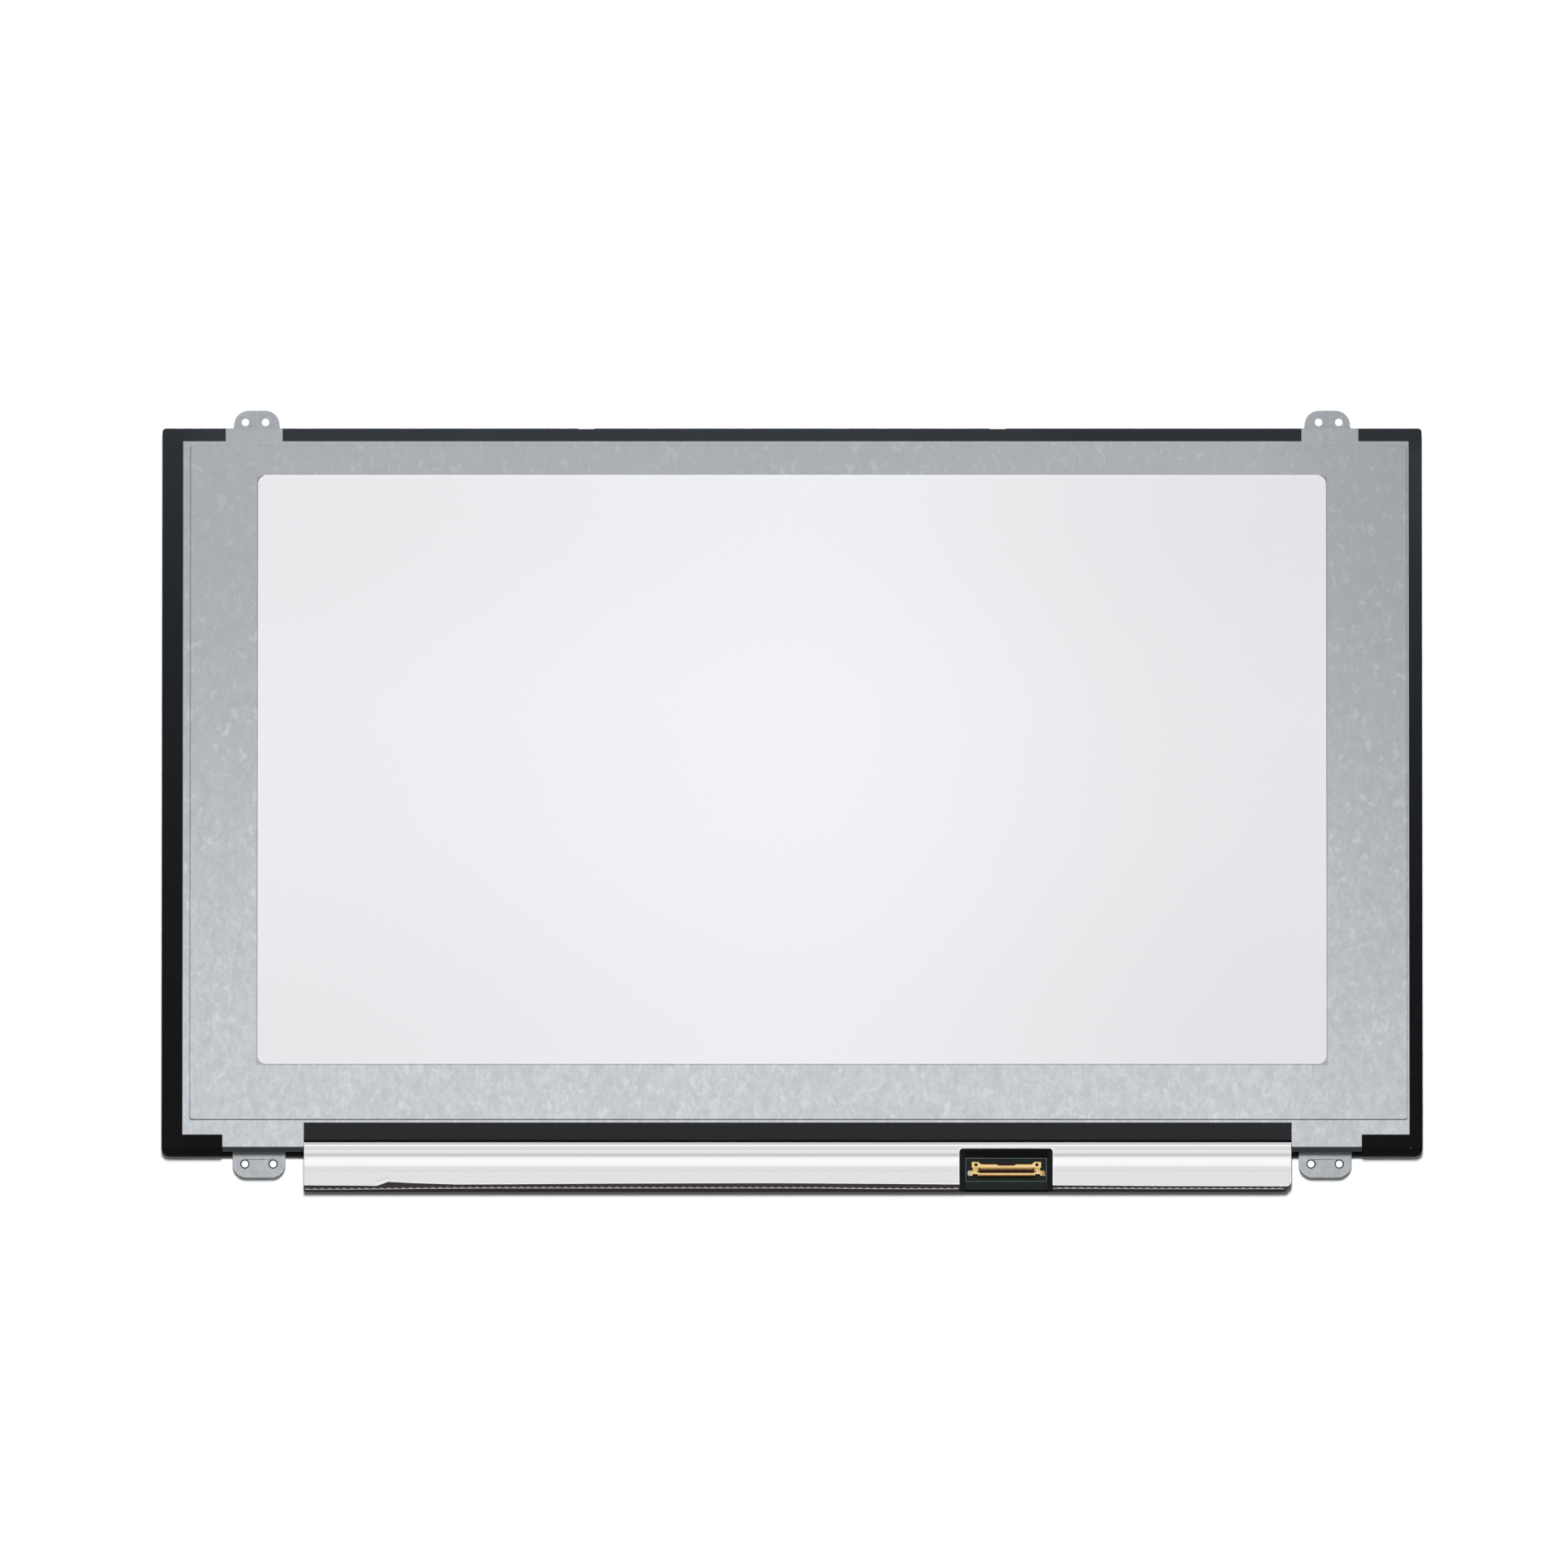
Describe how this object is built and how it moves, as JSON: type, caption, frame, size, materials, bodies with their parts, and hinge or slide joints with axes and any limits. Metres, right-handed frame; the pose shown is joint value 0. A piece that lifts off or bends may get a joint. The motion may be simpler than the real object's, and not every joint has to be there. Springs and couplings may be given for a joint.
{
  "type": "laptop screen panel",
  "caption": "Slim rectangular display module with a windowed steel rear plate, black frame, screw tabs at the corners and a foil-wrapped circuit board with a cable connector along the bottom.",
  "frame": {"origin": "middle of the panel's outline, on its viewing face, which lies on the surface", "axes": "+Z from the viewing face to the rear plate, +X to the right and +Y to the top edge as seen from behind"},
  "size_m": [0.3594, 0.2238, 0.0032],
  "materials": {
    "polariser": "dark, smooth anti-glare film",
    "cell_glass": "clear polished glass",
    "black_tape": "black double-sided tape",
    "black_frame": "black moulded plastic, fine satin grain",
    "diffuser": "white diffusing sheet",
    "prism_film": "pale ribbed film",
    "acrylic": "clear acrylic",
    "white_reflector": "smooth white satin sheet",
    "flex_circuit": "amber flexible circuit film",
    "lamp_body": "white lamp body",
    "galvanised_steel": "dull galvanised steel with fine spangle",
    "solder_mask": "dark green lacquered board",
    "chip_body": "black moulded chip",
    "ferrite": "dark grey ferrite",
    "capacitor_body": "tan ceramic",
    "connector_plastic": "black moulded plastic",
    "gold_plate": "bright gold plating",
    "black_film": "black satin film",
    "bright_foil": "bright smooth foil",
    "grey_tape": "dull grey tape"
  },
  "bodies": {
    "root": {"front_polariser": "polariser", "colour_filter_glass": "cell_glass", "array_glass": "cell_glass", "rear_polariser": "polariser", "rim_tape": "black_tape", "mould_frame": "black_frame", "upper_diffuser": "diffuser", "upper_prism_sheet": "prism_film", "lower_prism_sheet": "prism_film", "lower_diffuser": "diffuser", "light_guide": "acrylic", "reflector_sheet": "white_reflector", "led_flex": "flex_circuit", "leds": "lamp_body", "rear_plate": "galvanised_steel", "circuit_board": "solder_mask", "driver_films": "flex_circuit", "driver_chips": "chip_body", "timing_controller": "chip_body", "lamp_driver": "chip_body", "inductors": "ferrite", "capacitors": "capacitor_body", "lamp_socket": "connector_plastic", "connector_housing": "connector_plastic", "connector_shell": "gold_plate", "connector_contacts": "gold_plate", "cover_film": "black_film", "shield_foil": "bright_foil", "edge_tape": "grey_tape"}
  },
  "joints": []
}
